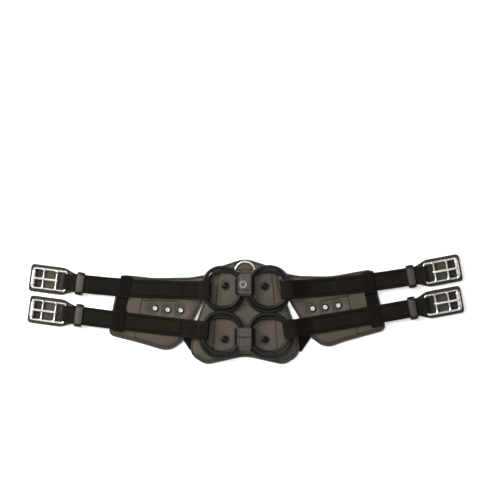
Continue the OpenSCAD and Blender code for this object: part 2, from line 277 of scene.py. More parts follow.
def distance_to(points, lines):
    """The distance of each point to the nearest of several polylines, given as (points, closed)."""
    best = np.full(len(points), 1e9)
    for line, closed in lines:
        a = np.asarray(line, float)
        b = np.roll(a, -1, 0)
        if not closed:
            a, b = a[:-1], b[:-1]
        ab = b - a
        size = np.maximum((ab**2).sum(1), 1e-12)
        for lo in range(0, len(points), 2000):
            p = points[lo:lo + 2000, None, :]
            t = np.clip(((p - a) * ab).sum(2) / size, 0, 1)
            gap = np.linalg.norm(p - a - t[..., None] * ab, axis=2).min(1)
            best[lo:lo + 2000] = np.minimum(best[lo:lo + 2000], gap)
    return best


def inside(points, loop):
    x, y = points[:, 0], points[:, 1]
    odd = np.zeros(len(points), bool)
    for (x0, y0), (x1, y1) in zip(loop, np.roll(loop, -1, 0)):
        crosses = (y0 > y) != (y1 > y)
        with np.errstate(divide="ignore", invalid="ignore"):
            odd ^= crosses & (x < (x1 - x0) * (y - y0) / (y1 - y0) + x0)
    return odd


def turned(loop, way):
    """The loop running anticlockwise for way 1, or clockwise for way -1."""
    x, y = loop[:, 0], loop[:, 1]
    area = float((x * np.roll(y, -1) - y * np.roll(x, -1)).sum())
    return loop if area * way > 0 else loop[::-1]


def offset_inside(loop, amount):
    """The loop moved in by an amount, without its folded points."""
    lp = turned(loop, 1)
    inner = lp + left_of(path_axes(lp, True)) * amount
    return inner[distance_to(inner, [(lp, True)]) > 0.96 * amount]


def rounded_corners(corners, step=1.2):
    """A closed outline from corners given as x, y, radius."""
    points = []
    n = len(corners)
    for k in range(n):
        p, q, s = (np.array(corners[(k + i) % n][:2], float) for i in (-1, 0, 1))
        r = corners[k][2]
        a, b = (p - q) / np.linalg.norm(p - q), (s - q) / np.linalg.norm(s - q)
        half = math.acos(np.clip(a @ b, -1, 1)) / 2
        c = q + (a + b) / np.linalg.norm(a + b) * r / math.sin(half)
        start, stop = (q + side * r / math.tan(half) - c for side in (a, b))
        first = math.degrees(math.atan2(start[1], start[0]))
        turn = (math.degrees(math.atan2(stop[1], stop[0])) - first + 180) % 360 - 180
        points += arc(*c, r, first, first + turn, 9)
    return resampled(points, step)


def plate(outline, holes, step, rows, top, bottom, guides=()):
    """A closed plate over an outline with holes, with each point's distance to the edge. top and bottom give
    heights from the points and distances. Rows are distances at which extra points follow the edge. Guides
    are lines that extra points follow."""
    loops = [turned(outline, 1)] + [turned(h, -1) for h in holes]
    lines = [(lp, True) for lp in loops]
    last_row = rows[-1]

    def within(xy):
        kept = inside(xy, loops[0])
        for lp in loops[1:]:
            kept &= ~inside(xy, lp)
        return kept

    points, edges = [], []
    for lp in loops:
        base = len(points)
        points += [tuple(p) for p in lp]
        edges += [(base + i, base + (i + 1) % len(lp)) for i in range(len(lp))]
    for lp in loops:
        for row in rows:
            inner = lp + left_of(path_axes(lp, True)) * row
            points += [tuple(p) for p in inner[distance_to(inner, lines) > 0.93 * row]]
    low, high = loops[0].min(0), loops[0].max(0)
    xs, ys = np.arange(low[0], high[0], step), np.arange(low[1], high[1], step * 0.866)
    grid = np.array([(x + 0.5 * step * (k % 2), y) for k, y in enumerate(ys) for x in xs])
    grid = grid[within(grid)]
    grid = grid[distance_to(grid, lines) > last_row + 0.6 * step]
    for guide in guides:
        fine = resampled(guide, 1.4, False)
        side = left_of(path_axes(fine))
        near = np.concatenate([fine + side * off for off in (-2.1, -1.2, -0.55, 0.0, 0.55, 1.2, 2.1)])
        near = near[inside(near, loops[0]) & (distance_to(near, lines) > last_row + 0.4)]
        grid = grid[distance_to(grid, [(guide, False)]) > 2.9]
        points += [tuple(p) for p in near]
    points += [tuple(p) for p in grid]
    found = geometry.delaunay_2d_cdt([Vector(p) for p in points], edges, [], 0, 1e-6)
    xy = np.array([tuple(v) for v in found[0]])
    tris = np.array([f for f in found[2] if len(f) == 3])
    tris = tris[within(xy[tris].mean(1))]
    used = np.unique(tris)
    index = np.full(len(xy), -1)
    index[used] = np.arange(len(used))
    xy, tris = xy[used], index[tris]
    d = distance_to(xy, lines)
    verts = np.vstack([np.column_stack([xy, face(xy, d)]) for face in (top, bottom)])
    n = len(xy)
    directed = {(a, b) for t in tris for a, b in ((t[0], t[1]), (t[1], t[2]), (t[2], t[0]))}
    faces = [tuple(t) for t in tris] + [(t[2] + n, t[1] + n, t[0] + n) for t in tris]
    faces += [(b, a, a + n, b + n) for a, b in directed if (b, a) not in directed]
    return verts, faces, np.concatenate([d, d])


def sweep(path, a_axis, b_axis, section, closed=False):
    """A section, as points along two axes, carried along a path that joins end to end or is capped."""
    path, section = np.asarray(path, float), np.asarray(section, float)
    n, m = len(path), section.shape[-2]
    verts = np.repeat(path, m, 0).reshape(n, m, 3)
    for k, axis in ((0, a_axis), (1, b_axis)):
        verts = verts + section[..., k:k + 1] * np.broadcast_to(np.asarray(axis, float), (n, 3))[:, None, :]
    verts = verts.reshape(-1, 3)
    faces = []
    for i in range(n if closed else n - 1):
        k = (i + 1) % n
        for j in range(m):
            j2 = (j + 1) % m
            faces.append((i * m + j, i * m + j2, k * m + j2, k * m + j))
    if not closed:
        for end in (0, n - 1):
            centre = len(verts)
            verts = np.vstack([verts, verts[end * m:(end + 1) * m].mean(0)])
            faces += [(end * m + j, end * m + (j + 1) % m, centre) for j in range(m)]
    return verts, faces


def flat_wire(path, r):
    """A round wire along a closed path that lies flat."""
    return sweep(path, np.cross(path_axes(path, True), UP), UP, round_section(r, 20), True)


def round_section(r, sides=16):
    return arc(0, 0, r, 0, 360, sides + 1)[:-1]


def strip_section(width, thick, across=10, crown=0.0):
    """A flat strip's section with round edges, crowned by a little in the middle of its upper face."""
    half, t = width / 2, thick / 2
    flat = half - t
    points = []
    for side in (1, -1):
        points += [(side * x, side * y) for x, y in arc(flat, 0, t, 90, -90, 9)]
        points += [(x, -side * t) for x in np.linspace(side * flat, -side * flat, across + 1)[1:-1]]
    return [(a, b + (crown * (1 - (a / half) ** 2) if b > 0 else 0.0)) for a, b in points]


def revolve(profile, centre, sides=32, axis=(0, 0, 1)):
    """A profile of (radius, height) turned about an axis. A radius of 0 closes it."""
    axis = Vector(axis).normalized()
    ref = Vector((1, 0, 0)) if abs(axis.z) > 0.5 else Vector((0, 0, 1))
    e1 = np.array((ref - axis * ref.dot(axis)).normalized())
    e2 = np.cross(np.array(axis), e1)
    axis, centre = np.array(axis), np.array(centre, float)
    verts, rings = [], []
    for r, h in profile:
        if r < 1e-6:
            rings.append([len(verts)])
            verts.append(centre + axis * h)
        else:
            rings.append(list(range(len(verts), len(verts) + sides)))
            verts += [centre + axis * h + c * e1 + s * e2 for c, s in round_section(r, sides)]
    closed = len(rings[0]) > 1 and len(rings[-1]) > 1
    pairs = list(zip(rings, rings[1:])) + ([(rings[-1], rings[0])] if closed else [])
    faces = []
    for a, b in pairs:
        for k in range(sides):
            k2 = (k + 1) % sides
            if len(a) == 1:
                faces.append((a[0], b[k], b[k2]))
            elif len(b) == 1:
                faces.append((a[k], b[0], a[k2]))
            else:
                faces.append((a[k], b[k], b[k2], a[k2]))
    return np.array(verts), faces


def sheet_grid(points, thick):
    """A closed sheet hung below a grid of surface points, with its borders rounded."""
    p = np.asarray(points, float)
    n, m, _ = p.shape
    normal = np.cross(np.gradient(p, axis=0), np.gradient(p, axis=1))
    normal /= np.linalg.norm(normal, axis=2)[..., None]
    if normal[..., 2].mean() < 0:
        normal = -normal
    i = np.minimum(np.arange(n), np.arange(n)[::-1])[:, None]
    j = np.minimum(np.arange(m), np.arange(m)[::-1])[None, :]
    to_edge = np.minimum(i, j)
    pinch = np.where(to_edge == 0, 0.36, np.where(to_edge == 1, 0.1, 0.0))[..., None]
    upper = p - normal * thick * pinch
    lower = p - normal * thick * (1 - pinch)
    verts = np.concatenate([upper.reshape(-1, 3), lower.reshape(-1, 3)])
    at = lambda a, b, low=0: low * n * m + a * m + b
    faces = []
    for a in range(n - 1):
        for b in range(m - 1):
            faces.append((at(a, b), at(a + 1, b), at(a + 1, b + 1), at(a, b + 1)))
            faces.append((at(a, b, 1), at(a, b + 1, 1), at(a + 1, b + 1, 1), at(a + 1, b, 1)))
    rim = [(a, 0) for a in range(n)] + [(n - 1, b) for b in range(1, m)]
    rim += [(a, m - 1) for a in range(n - 2, -1, -1)] + [(0, b) for b in range(m - 2, 0, -1)]
    faces += [(at(*a), at(*b), at(*b, 1), at(*a, 1)) for a, b in zip(rim, rim[1:] + rim[:1])]
    return verts, faces


def stitch_rows(rows, pitch, length, r):
    """Rows of short lengths of thread that arch up and dip in at both ends. Each row is (points, closed)."""
    stations = ((-0.5, 0.3, -0.9), (-0.34, 0.95, 0.1), (0.0, 1.0, 0.35), (0.34, 0.95, 0.1), (0.5, 0.3, -0.9))
    sides = 6
    ends = sides * len(stations)
    pattern = [
        (i * sides + k, i * sides + (k + 1) % sides, (i + 1) * sides + (k + 1) % sides, (i + 1) * sides + k)
        for i in range(len(stations) - 1) for k in range(sides)
    ]
    pattern += [tuple(range(sides)), tuple(range(ends - sides, ends))]
    parts = []
    for points, closed in rows:
        p = resampled(points, pitch, closed)
        t = path_axes(p, closed)
        side = np.cross(UP, t)
        side /= np.linalg.norm(side, axis=1)[:, None]
        up = np.cross(t, side)
        rings = []
        for along, size, lift in stations:
            rings += [p + t * along * length + side * c * r * size + up * r * (s * size + lift)
                      for c, s in round_section(1.0, sides)]
        verts = np.stack(rings, axis=1).reshape(-1, 3)
        parts.append((verts, [tuple(ends * i + v for v in face) for i in range(len(p)) for face in pattern]))
    return joined(parts)


# ---------------------------------------------------------------- materials
class Shader:
    """A Principled material whose nodes are added one at a time."""

    def __init__(self, name, rough, specular=None, **more):
        self.mat = bpy.data.materials.new(name)
        self.mat.use_nodes = True
        self.tree = self.mat.node_tree
        self.bsdf = self.tree.nodes["Principled BSDF"]
        self.relief = None
        self.bsdf.inputs["Roughness"].default_value = rough
        if specular is not None:
            self.bsdf.inputs["Specular IOR Level"].default_value = specular
        for socket, value in more.items():
            self.bsdf.inputs[socket.replace("_", " ")].default_value = value

    def put(self, value, socket):
        """Links another node's output to a socket, or sets a number, colour or vector on it."""
        if isinstance(value, bpy.types.NodeSocket):
            self.tree.links.new(value, socket)
        elif isinstance(value, tuple):
            socket.default_value = value + (1.0,) * (len(socket.default_value) - len(value))
        else:
            socket.default_value = value

    def add(self, kind, output, inputs, **settings):
        """A new node's output. Inputs are given by name or number, as values or as other nodes' outputs."""
        made = self.tree.nodes.new(f"ShaderNode{kind}")
        for key, value in settings.items():
            setattr(made, key, value)
        for key, value in inputs.items():
            self.put(value, made.inputs[key])
        return made.outputs[output]

    def coords(self):
        return self.add("TexCoord", "Object", {})

    def attribute(self, name, output="Fac"):
        return self.add("Attribute", output, {}, attribute_name=name)

    def scaled(self, source, scale):
        return self.add("Mapping", "Vector", {"Vector": source, "Scale": scale})

    def noise(self, scale, detail, stretch=None, output="Fac"):
        source = self.scaled(self.coords(), stretch) if stretch else self.coords()
        return self.add("TexNoise", output, {"Vector": source, "Scale": scale, "Detail": detail})

    def ramp(self, source, stops):
        made = self.tree.nodes.new("ShaderNodeValToRGB")
        for element, (at, colour) in zip(made.color_ramp.elements, stops):
            element.position = at
            element.color = (*colour, 1.0)
        self.put(source, made.inputs["Fac"])
        return made.outputs["Color"]

    def mix(self, factor, a, b):
        return self.add("Mix", 2, {0: factor, 6: a, 7: b}, data_type="RGBA")

    def maths(self, how, a, b):
        return self.add("Math", 0, {0: a, 1: b}, operation=how)

    def spread(self, source, low, high):
        return self.add("MapRange", "Result", {"Value": source, "To Min": low, "To Max": high})

    def bump(self, height, depth, strength):
        """Adds a relief, depth in millimetres."""
        inputs = {"Height": height, "Strength": strength, "Distance": depth * MM}
        if self.relief is not None:
            inputs["Normal"] = self.relief
        self.relief = self.add("Bump", "Normal", inputs)

    def done(self, colour, rough=None):
        for value, socket in ((colour, "Base Color"), (rough, "Roughness"), (self.relief, "Normal")):
            if value is not None:
                self.put(value, self.bsdf.inputs[socket])
        return self.mat


def shaded(colour, share):
    return tuple(min(1.0, c * share) for c in colour)


def leather(name, light, dark, edge_dye_and_shade, grain=900.0, rough=(0.42, 0.62), specular=0.22):
    """Grained leather: pebbles and creases in relief, blotches of dye, darker burnished edges, and painted
    shade wherever the edge attribute marks it.
    """
    s = Shader(name, 0.5, specular)
    wobble = s.noise(grain * 0.35, 3.0, output="Color")
    warped = s.add("MixRGB", 0, {0: 0.0011, 1: s.coords(), 2: wobble}, blend_type="ADD")
    cells = s.add("TexVoronoi", "Distance", {"Vector": warped, "Scale": grain}, feature="DISTANCE_TO_EDGE")
    pebble = s.ramp(cells, [(0.0, (0, 0, 0)), (0.22, (1, 1, 1))])
    fine = s.noise(2600.0, 5.0)
    s.bump(s.noise(55.0, 3.0), 0.5, 0.5)
    s.bump(pebble, 0.10, 0.8)
    s.bump(fine, 0.05, 0.6)
    dye = s.ramp(s.noise(26.0, 5.0), [(0.3, dark), (0.72, light)])
    creased = s.mix(s.spread(pebble, 0.35, 0.0), dye, shaded(dark, 0.55))
    speckled = s.mix(s.spread(fine, 0.0, 0.25), creased, shaded(light, 1.35))
    # Where the edge attribute is high the colour goes dark: burnished edges, and painted shade in grooves,
    # creases, steep sides and under parts.
    edge = s.ramp(s.attribute("edge"), [(0.25, (0, 0, 0)), (0.9, (1, 1, 1))])
    return s.done(s.mix(edge, speckled, edge_dye_and_shade), s.spread(s.noise(90.0, 4.0), *rough))


def webbing(name, light, dark, rib=1.0):
    """Woven web: crossing yarns along the piece's own length and width, spread by rib along its length."""
    rough, pitch = 0.82, 1.1
    s = Shader(name, rough, specular=0.08)
    run = s.attribute("run", "Vector")
    yarns = []
    for way, size in (("X", pitch * rib), ("Y", pitch)):
        inputs = {"Vector": s.scaled(run, (math.pi / 10 / size,) * 3), "Scale": 1.0, "Distortion": 0.6}
        inputs["Detail Scale"] = 2.0
        yarns.append(s.add("TexWave", "Fac", inputs, wave_type="BANDS", bands_direction=way))
    yarn = s.maths("POWER", s.maths("MULTIPLY", *yarns), 0.6)
    fuzz = s.noise(3200.0, 4.0)
    s.bump(s.noise(70.0, 3.0), 0.4, 0.5)
    s.bump(yarn, 0.22, 0.8)
    s.bump(fuzz, 0.06, 0.7)
    colour = s.ramp(s.noise(38.0, 5.0), [(0.3, dark), (0.75, light)])
    colour = s.mix(s.spread(yarn, 0.45, 0.0), colour, shaded(dark, 0.45))
    colour = s.mix(s.spread(fuzz, 0.0, 0.22), colour, shaded(light, 1.9))
    return s.done(colour, s.spread(fuzz, rough - 0.08, rough + 0.08))


def rubber():
    """Matt black rubber with a faint bloom."""
    s = Shader("rubber", 0.55, specular=0.20)
    bloom = s.noise(48.0, 6.0)
    fine = s.noise(1900.0, 5.0)
    s.bump(bloom, 0.25, 0.4)
    s.bump(fine, 0.05, 0.8)
    colour = s.ramp(bloom, [(0.3, (0.0046, 0.0043, 0.0037)), (0.75, (0.0078, 0.0074, 0.0063))])
    colour = s.mix(s.spread(fine, 0.0, 0.25), colour, (0.015, 0.014, 0.012))
    return s.done(colour, s.spread(bloom, 0.38, 0.55))


def nickel(name, tint):
    """Plated metal with long fine scratches and a cloudy finish."""
    s = Shader(name, 0.25, Metallic=1.0)
    scratch = s.noise(420.0, 6.0, stretch=(0.25, 1.0, 1.0))
    cloud = s.noise(60.0, 5.0)
    s.bump(cloud, 0.04, 0.3)
    s.bump(scratch, 0.006, 0.5)
    colour = s.ramp(cloud, [(0.3, shaded(tint, 0.86)), (0.7, tint)])
    return s.done(colour, s.spread(s.mix(0.5, scratch, cloud), 0.24, 0.40))


def lacquer(name, colour, rough, coat):
    """Smooth paint with a thin clear coat."""
    s = Shader(name, rough, specular=0.25, Coat_Weight=coat, Coat_Roughness=0.2)
    fine = s.noise(700.0, 4.0)
    s.bump(fine, 0.02, 0.6)
    shade = s.ramp(s.noise(120.0, 4.0), [(0.3, shaded(colour, 0.75)), (0.7, colour)])
    return s.done(shade, s.spread(fine, rough - 0.06, rough + 0.1))


def thread(name, colour):
    """Dull twisted thread."""
    s = Shader(name, 0.8, specular=0.05)
    twist = s.noise(1500.0, 3.0)
    s.bump(twist, 0.05, 0.8)
    return s.done(s.ramp(twist, [(0.3, shaded(colour, 0.6)), (0.7, colour)]))


# Near black for darker edges and for painted shade on the ring loops and keepers.
EDGE_DYE_AND_SHADE_BLACK = (0.0024, 0.0022, 0.0018)
LEATHER_FACE = leather("leather_face", (0.062, 0.052, 0.040), (0.047, 0.039, 0.030), (0.008, 0.007, 0.0053))
LEATHER_LOOP = leather(
    "leather_loop", (0.046, 0.039, 0.031), (0.026, 0.022, 0.018), EDGE_DYE_AND_SHADE_BLACK, rough=(0.26, 0.44), specular=0.42,
)
LEATHER_GUARD = leather(
    "leather_guard", (0.043, 0.036, 0.028), (0.030, 0.025, 0.019), (0.005, 0.0043, 0.0033),
)
LEATHER_KEEPER = leather(
    "leather_keeper", (0.052, 0.044, 0.034), (0.034, 0.029, 0.023), EDGE_DYE_AND_SHADE_BLACK, rough=(0.30, 0.48), specular=0.34,
)
LEATHER_LINING = leather(
    "leather_lining", (0.054, 0.045, 0.035), (0.042, 0.035, 0.027), (0.010, 0.008, 0.0065), grain=1400.0,
)
WEB_STRAP = webbing("web_strap", (0.0108, 0.0084, 0.0054), (0.0062, 0.0049, 0.0033))
WEB_ELASTIC = webbing("web_elastic", (0.0070, 0.0055, 0.0037), (0.0042, 0.0034, 0.0024), rib=1.4)
RUBBER = rubber()
NICKEL = nickel("nickel", (0.98, 0.94, 0.87))
LACQUER_BLACK = lacquer("lacquer_black", (0.0012, 0.0011, 0.0010), 0.16, 0.0)
ENAMEL_RIM = lacquer("enamel_rim", (0.20, 0.20, 0.19), 0.4, 0.2)
ENAMEL_FIELD = lacquer("enamel_field", (0.045, 0.052, 0.076), 0.4, 0.2)
THREAD_DARK = thread("thread_dark", (0.0016, 0.0014, 0.0011))
THREAD_BLACK = thread("thread_black", (0.0006, 0.0005, 0.0004))


# ---------------------------------------------------------------- pads
PAD_TOP = 7.0
PAD_RIM = 0.62 * PAD_TOP
PAD_FOOT = 2.3
LINING_TOP = 1.6
STITCH_IN = 3.4
STITCH_IN_LOW = 6.4
PAD_STITCH = (4.2, 2.5, 0.85)
EYELET_RIM = [
    (3.85, 0.5), (4.55, 0.3), (4.55, 6.1), (4.9, 6.3), (5.0, 6.7), (4.7, 7.15), (4.3, 7.3), (3.95, 7.0),
    (3.85, 6.4),
]
STUD_CAP = [
    (0, 6.2), (5.4, 6.2), (5.7, 6.6), (5.75, 7.3), (5.3, 8.1), (4.3, 8.75), (3.6, 8.95), (3.1, 8.8),
    (2.7, 8.35), (2.2, 8.3), (1.8, 8.7), (1.2, 9.05), (0.6, 9.15), (0, 9.2),
]
STUD_RING = [
    (5.6, 6.2), (7.9, 6.2), (8.1, 6.7), (7.8, 7.15), (7.2, 7.35), (6.5, 7.3), (6.0, 7.05), (5.6, 6.9),
]


def ripple(xy, scale, seed):
    return np.array([noise.noise(Vector((p[0] / scale, p[1] / scale, seed))) for p in xy])


def build_pad(tag, body, lining_node, padding_nodes, seams, low_edge, bed, dents, seed):
    """A padded leather panel over its lining, with sewn seams, an edge rim and rows of stitches. A second
    row runs where low_edge is 1. bed is a depth pressed into it. Dents are place, radius and depth."""
    loops = flat_loops(lining_node, 0.0)
    outline = smoothed(resampled(loops[0], 1.6), 6)
    holes = [smoothed(resampled(h, 1.2), 1) for h in loops[1:]]
    seam_lines = [(seam, False) for seam in seams]

    def crown(xy, d):
        z = PAD_FOOT + (PAD_RIM - PAD_FOOT) * round_edge(d, 1.7)
        z += (PAD_TOP - PAD_RIM) * (1 - np.exp(-np.maximum(d - STITCH_IN, 0) / 5.5))
        z -= 0.65 * ridge(d, STITCH_IN, 0.8)
        z += 0.22 * ripple(xy, 22.0, seed) * np.clip(d / 10, 0, 1)
        z += 0.10 * ripple(xy, 7.0, seed + 5) * np.clip(d / 6, 0, 1)
        z -= 0.55 * low_edge(xy) * ridge(d, STITCH_IN_LOW, 0.8)
        z -= 0.65 * ridge(distance_to(xy, seam_lines), 0, 0.9)
        for (x, y), r, depth in dents:
            gap = np.hypot(xy[:, 0] - x, xy[:, 1] - y)
            z -= depth * ridge(np.maximum(gap - r, 0), 0, 2.2)
        return z - bed(xy)

    def under(xy, d):
        return LINING_TOP + 0.25 + 0.5 * (1 - round_edge(d, 1.2))

    def lining_top(xy, d):
        return 0.9 + (LINING_TOP + 0.2 - 0.9) * round_edge(d, 0.9)

    def lining_low(xy, d):
        return 0.7 * (1 - round_edge(d, 0.9))

    def lifted(line):
        z = crown(line, distance_to(line, [(outline, True)] + [(h, True) for h in holes]))
        return np.column_stack([line, z + 0.18])

    verts, faces, d = plate(outline, holes, 2.0, (0.35, 0.9, 1.7, 2.6, 3.4, 4.2, 5.4), crown, under, seams)
    xy = verts[:, :2]
    # Darker edge, and painted shade in the stitch grooves and along the sewn seams.
    edge = ridge(d, 0, 1.3) + 0.3 * ridge(d, STITCH_IN, 0.6)
    edge += 0.3 * low_edge(xy) * ridge(d, STITCH_IN_LOW, 0.6)
    edge += 0.35 * ridge(distance_to(xy, seam_lines), 0, 0.6)
    face = make_piece(
        f"{tag}_face", (verts, faces), LEATHER_FACE, body, padding_nodes, "leather_face", 50, edge=edge,
    )
    verts, faces, d = plate(outline, holes, 3.2, (0.3, 0.9, 2.4), lining_top, lining_low)
    edge = 0.7 * ridge(d, 0, 1.2)
    make_piece(f"{tag}_lining", (verts, faces), LEATHER_LINING, body, lining_node, "lining", 50, edge=edge)
    inner = resampled(offset_inside(outline, STITCH_IN_LOW), 3.0)
    inner = inner[np.argsort(inner[:, 0])]
    rows = [(lifted(offset_inside(outline, STITCH_IN)), True), (lifted(inner[low_edge(inner) > 0.5]), False)]
    rows += [(lifted(resampled(seam, 2.0, False)), False) for seam in seams]
    make_piece(f"{tag}_stitching", stitch_rows(rows, *PAD_STITCH), THREAD_DARK, body, slot="leather_dark")


def stud_places():
    co = corners_mm("press_studs")
    middle_y = (co[:, 1].min() + co[:, 1].max()) / 2
    places = []
    for sx in (-1, 1):
        for upper in (True, False):
            part = co[(np.sign(co[:, 0]) == sx) & ((co[:, 1] > middle_y) == upper)]
            places.append(((part.min(0) + part.max(0)) / 2)[:2])
    return places


STUDS = stud_places()
CENTRE_SEAMS = [
    np.array([(-42.6, 55.8), (-46.5, 20.0), (-52.0, -64.0)]),
    np.array([(43.9, 55.8), (48.0, 20.0), (53.3, -64.0)]),
]
PAD_SEAMS = {
    "left": [
        np.array([(-161.5, 49.5), (-171.0, 0.0), (-180.4, -48.0)]),
        np.array([(-168.9, 14.6), (-140.0, 13.4), (-111.0, 12.6)]),
    ],
    "right": [
        np.array([(159.9, 52.0), (173.0, 4.0), (186.0, -43.0)]),
        np.array([(131.0, 14.4), (151.0, 17.8), (170.8, 21.8)]),
    ],
}


def low_edge_below(y):
    """1 where a pad's points lie well below y, fading to 0 above it."""
    return lambda xy: np.clip((y - xy[:, 1]) / 4.0, 0, 1)


def d_ring_bed(xy):
    """The depth of the shallow bed that the D-ring has pressed into the centre pad."""
    low, high = box_mm("d_ring")
    rim = (high[0] - low[0]) / 2 - 1.7
    x, y = xy[:, 0], xy[:, 1] - joint_place("d_ring_lift")[1]
    arc = ridge(np.abs(np.hypot(x, y) - rim), 0, 2.6) / (1 + np.exp(-y))
    bar = np.abs(y) + 10 * (np.abs(x) > rim)
    return 2.5 * np.maximum(arc, ridge(bar, 0, 2.8))


def centre_pad():
    dents = [(p, 7.6, 0.7) for p in STUDS]
    build_pad(
        "centre_pad", "centre", "centre_lining", "centre_face centre_foam",
        CENTRE_SEAMS, low_edge_below(-72.0), d_ring_bed, dents, 1.5,
    )


def side_pad(side, seed):
    pad = f"pad_{side}"
    places = [h.mean(0) for h in flat_loops(f"pad_lining_{side}", 0.0)[1:]]
    build_pad(
        pad, pad, f"pad_lining_{side}", f"pad_face_{side} pad_foam_{side}",
        PAD_SEAMS[side], low_edge_below(-26.0), lambda xy: 0.0, [(p, 5.0, 0.35) for p in places], seed,
    )
    rims = joined([revolve(EYELET_RIM, (x, y, 0), 28) for x, y in places])
    make_piece(f"eyelets_{side}_rims", rims, LACQUER_BLACK, pad, f"eyelets_{side}", "eyelet")


def press_studs():
    """Black domed caps, each set in a raised leather ring."""
    caps = joined([revolve(STUD_CAP, (x, y, 0), 36) for x, y in STUDS])
    make_piece("press_stud_caps", caps, LACQUER_BLACK, "centre", "press_studs", "stud")
    verts, faces = joined([revolve(STUD_RING, (x, y, 0), 40) for x, y in STUDS])
    gap = np.min([np.hypot(verts[:, 0] - x, verts[:, 1] - y) for x, y in STUDS], axis=0)
    edge = np.maximum(ridge(gap, 8.0, 0.8), np.where(gap < 6.1, 0.9, 0.0))
    make_piece("press_stud_rings", (verts, faces), LEATHER_FACE, "centre", slot="leather_face", edge=edge)


# ---------------------------------------------------------------- rings and their loops
RING_POWER = 2.15
LOOP_STITCH = (3.8, 2.2, 0.75)


def ring_path(node, count=120):
    """A ring's centre line: a rounded oval that sags a little where nothing holds it."""
    low, high = box_mm(node)
    centre = (low + high) / 2
    half = (high - low) / 2 - RING_R
    sag = 2.6 if node.endswith("_over") else 1.2
    points = []
    for c, s in round_section(1.0, count):
        x = centre[0] + half[0] * math.copysign(abs(c) ** (2 / RING_POWER), c)
        y = centre[1] + half[1] * math.copysign(abs(s) ** (2 / RING_POWER), s)
        points.append((x, y, centre[2] - sag * abs(s) ** 3))
    return smoothed(resampled(points, 2.0), 2)


def rubber_ring(arm, level):
    """A moulded ring with a faint mould line inside and outside."""
    node = f"ring_{arm}_{level}"
    path = ring_path(node)
    t = path_axes(path, True)
    flat = np.cross(t, UP)
    flat /= np.linalg.norm(flat, axis=1)[:, None]
    section = []
    for c, s in round_section(1.0, 20):
        line = 0.12 * ridge(s, 0, 0.16)
        section.append(((RING_R + line) * c, (RING_R + line * 0.2) * s))
    shape = sweep(path, flat, np.cross(flat, t), section, True)
    ring = make_piece(f"{node}_band", shape, RUBBER, None, node, "rubber")
    stretch(ring, node, f"arm_{arm}", arms[arm].side, 0.22, 0.80, 10.0)


def centre_loop(node, neck_low, neck_high, creases):
    """A leather bridge over the rings, flat along its middle, with sides bulging down over them that painted
    shade darkens.
    """
    low, high = box_mm(node)
    half, span = high[0], high[1] - low[1]
    flat_half, neck_half, end_height, foot = 8.6, 10.2, 13.4, 8.4
    ys = np.linspace(low[1], high[1], 64)
    us = np.linspace(-1, 1, 47)
    grid = np.zeros((len(us), len(ys), 3))
    for j, y in enumerate(ys):
        below, above = y - low[1], high[1] - y
        into = min(below / neck_low, above / neck_high)
        width = neck_half + (half - neck_half) * ease(np.clip((into - 0.62) / 1.0, 0, 1))
        end_share = np.clip(min(below, above) / 8.5, 0, 1)
        crest = end_height + (high[2] - end_height) * math.sin(end_share * math.pi / 2) ** 0.8
        fold = sum(0.9 * ridge(below, c * span, 0.8) for c in creases)
        for i, u in enumerate(us):
            x = u * width
            past = max(0.0, abs(x) - flat_half) / (half - flat_half)
            drop = (crest - foot) * (1 - math.sqrt(max(0.0, 1 - past**2.4)))
            drop += 0.45 * ridge(abs(abs(x) - flat_half + 0.6), 0, 0.6) + fold * max(0.0, 1 - past)
            grid[i, j] = (x, y, crest - drop + 0.2 * noise.noise(Vector((x / 6, y / 9, half))))
    verts, faces = sheet_grid(grid, 1.9)
    below = verts[:, 1] - low[1]
    # Painted shade darkens the sides that bulge down over the rings; the ends are darker too.
    edge = np.clip((np.abs(verts[:, 0]) - flat_half + 0.2) / 1.6, 0, 1)
    edge = np.maximum(edge, 0.8 * ridge(np.minimum(below, span - below), 0, 1.0))
    # Painted shade in the creases.
    for c in creases:
        edge = np.maximum(edge, 0.75 * ridge(below, c * span, 0.8))
    shape = verts, faces
    make_piece(f"{node}_leather", shape, LEATHER_LOOP, "centre", node, "leather_dark", 60, edge=edge)
    rows = []
    for y in (low[1] + 2.6, high[1] - 2.6):
        line = grid[:, int(np.argmin(np.abs(ys - y)))]
        rows.append((line[np.abs(line[:, 0]) < neck_half - 1] + 0.12 * UP, False))
    stitches = stitch_rows(rows, *LOOP_STITCH)
    make_piece(f"{node}_stitching", stitches, THREAD_DARK, "centre", slot="leather_dark")
    # A layer under the bridge coloured all dark: painted shade beneath the loop.
    base = sheet_grid([
        [(x, y, 9.5) for y in np.linspace(low[1] + 6, high[1] - 14, 12)]
        for x in np.linspace(-half + 2.6, half - 2.6, 10)
    ], 2.0)
    edge = np.ones(len(base[0]))
    make_piece(f"{node}_base", base, LEATHER_LOOP, "centre", slot="leather_dark", sharp=60, edge=edge)


def loop_disc():
    """A plain two-colour disc on the upper loop."""
    low, high = box_mm("loop_disc")
    centre = (*((low + high) / 2)[:2], 0)
    r = (high[0] - low[0]) / 2
    foot, top = low[2], high[2]
    rim = [
        (r - 2.6, foot - 0.6), (r - 0.3, foot - 0.6), (r, foot), (r - 0.1, top - 0.1), (r - 0.6, top + 0.15),
        (r - 1.4, top), (r - 1.9, top - 0.3), (r - 2.6, top - 0.4),
    ]
    field = [
        (0, foot - 0.5), (r - 1.9, foot - 0.5), (r - 1.8, top - 0.5), (r - 2.6, top - 0.34),
        (0.9, top - 0.2), (0, top - 0.18),
    ]
    make_piece("loop_disc_rim", revolve(rim, centre, 40), ENAMEL_RIM, "centre", "loop_disc", "disc")
    make_piece("loop_disc_field", revolve(field, centre, 40), ENAMEL_FIELD, "centre", slot="disc")


# ---------------------------------------------------------------- straps
STRAP_STITCH = (4.2, 2.6, 0.8)
ROW_IN = 4.6


